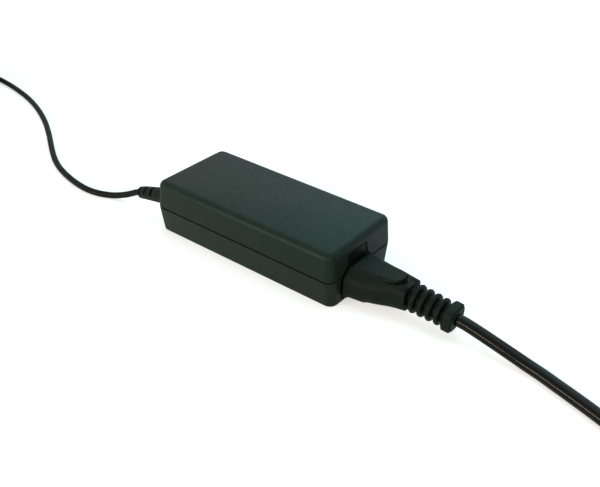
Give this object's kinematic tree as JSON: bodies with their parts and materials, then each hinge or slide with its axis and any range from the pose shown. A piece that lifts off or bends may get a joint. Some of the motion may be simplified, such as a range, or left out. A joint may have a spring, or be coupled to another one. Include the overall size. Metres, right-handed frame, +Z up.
{
  "type": "laptop power adapter",
  "caption": "Slim rectangular power supply with a welded housing, a mains lead that pulls out of its inlet, and a thin low-voltage lead with a barrel plug.",
  "frame": {"origin": "under the middle of the housing, on the surface it stands on", "axes": "+X out of the mains end along the housing, +Y across it, +Z up"},
  "size_m": [0.728, 0.0801, 0.03],
  "materials": {
    "case_plastic": "satin, finely textured",
    "inlet_plastic": "satin",
    "moulded_rubber": "satin, soft moulded PVC",
    "cable_jacket": "glossy",
    "plated_metal": "nickel plated",
    "brass": "bright",
    "board": "satin",
    "component_black": "satin",
    "component_yellow": "satin",
    "component_blue": "satin",
    "ferrite": "matt, ground",
    "copper": "enamelled copper wire",
    "aluminium": "mill finish",
    "film": "smooth film",
    "wire_red": "satin"
  },
  "bodies": {
    "adapter": {"upper_case": "case_plastic", "lower_case": "case_plastic", "inlet_housing": "inlet_plastic", "inlet_pin_line": "plated_metal", "inlet_pin_neutral": "plated_metal", "inlet_pin_earth": "plated_metal", "circuit_board": "board", "insulating_sheet": "film", "heat_spreader": "aluminium", "fuse": "component_black", "varistor": "component_blue", "x_capacitor": "component_yellow", "choke_core": "ferrite", "choke_winding_left": "copper", "choke_winding_right": "copper", "bridge_rectifier": "component_black", "bulk_capacitor": "component_black", "primary_heatsink": "aluminium", "switching_transistor": "component_black", "controller_chip": "component_black", "transformer_core": "ferrite", "transformer_winding": "component_yellow", "y_capacitor": "component_blue", "optocoupler": "component_black", "secondary_heatsink": "aluminium", "output_rectifier": "component_black", "output_capacitor_near": "component_black", "output_capacitor_far": "component_black", "output_choke": "ferrite", "dc_wire_positive": "wire_red", "dc_wire_negative": "component_black", "dc_strain_relief": "moulded_rubber", "dc_cord": "cable_jacket", "dc_coil": "cable_jacket", "dc_cord_tail": "cable_jacket", "dc_plug_grip": "moulded_rubber", "dc_plug_barrel": "plated_metal", "dc_plug_insulator": "component_black", "dc_plug_contact": "brass"},
    "mains_lead": {"ac_connector": "moulded_rubber", "contact_line": "brass", "contact_neutral": "brass", "contact_earth": "brass", "ac_cord": "cable_jacket", "ac_coil": "cable_jacket", "ac_cord_tail": "cable_jacket", "mains_plug": "moulded_rubber", "plug_blade_line": "plated_metal", "plug_blade_neutral": "plated_metal", "plug_pin_earth": "plated_metal"}
  },
  "joints": [
    {"name": "connector_pull", "type": "slide", "parent": "adapter", "child": "mains_lead", "axis": [1, 0, 0], "range_m": [0, 0.018]}
  ]
}
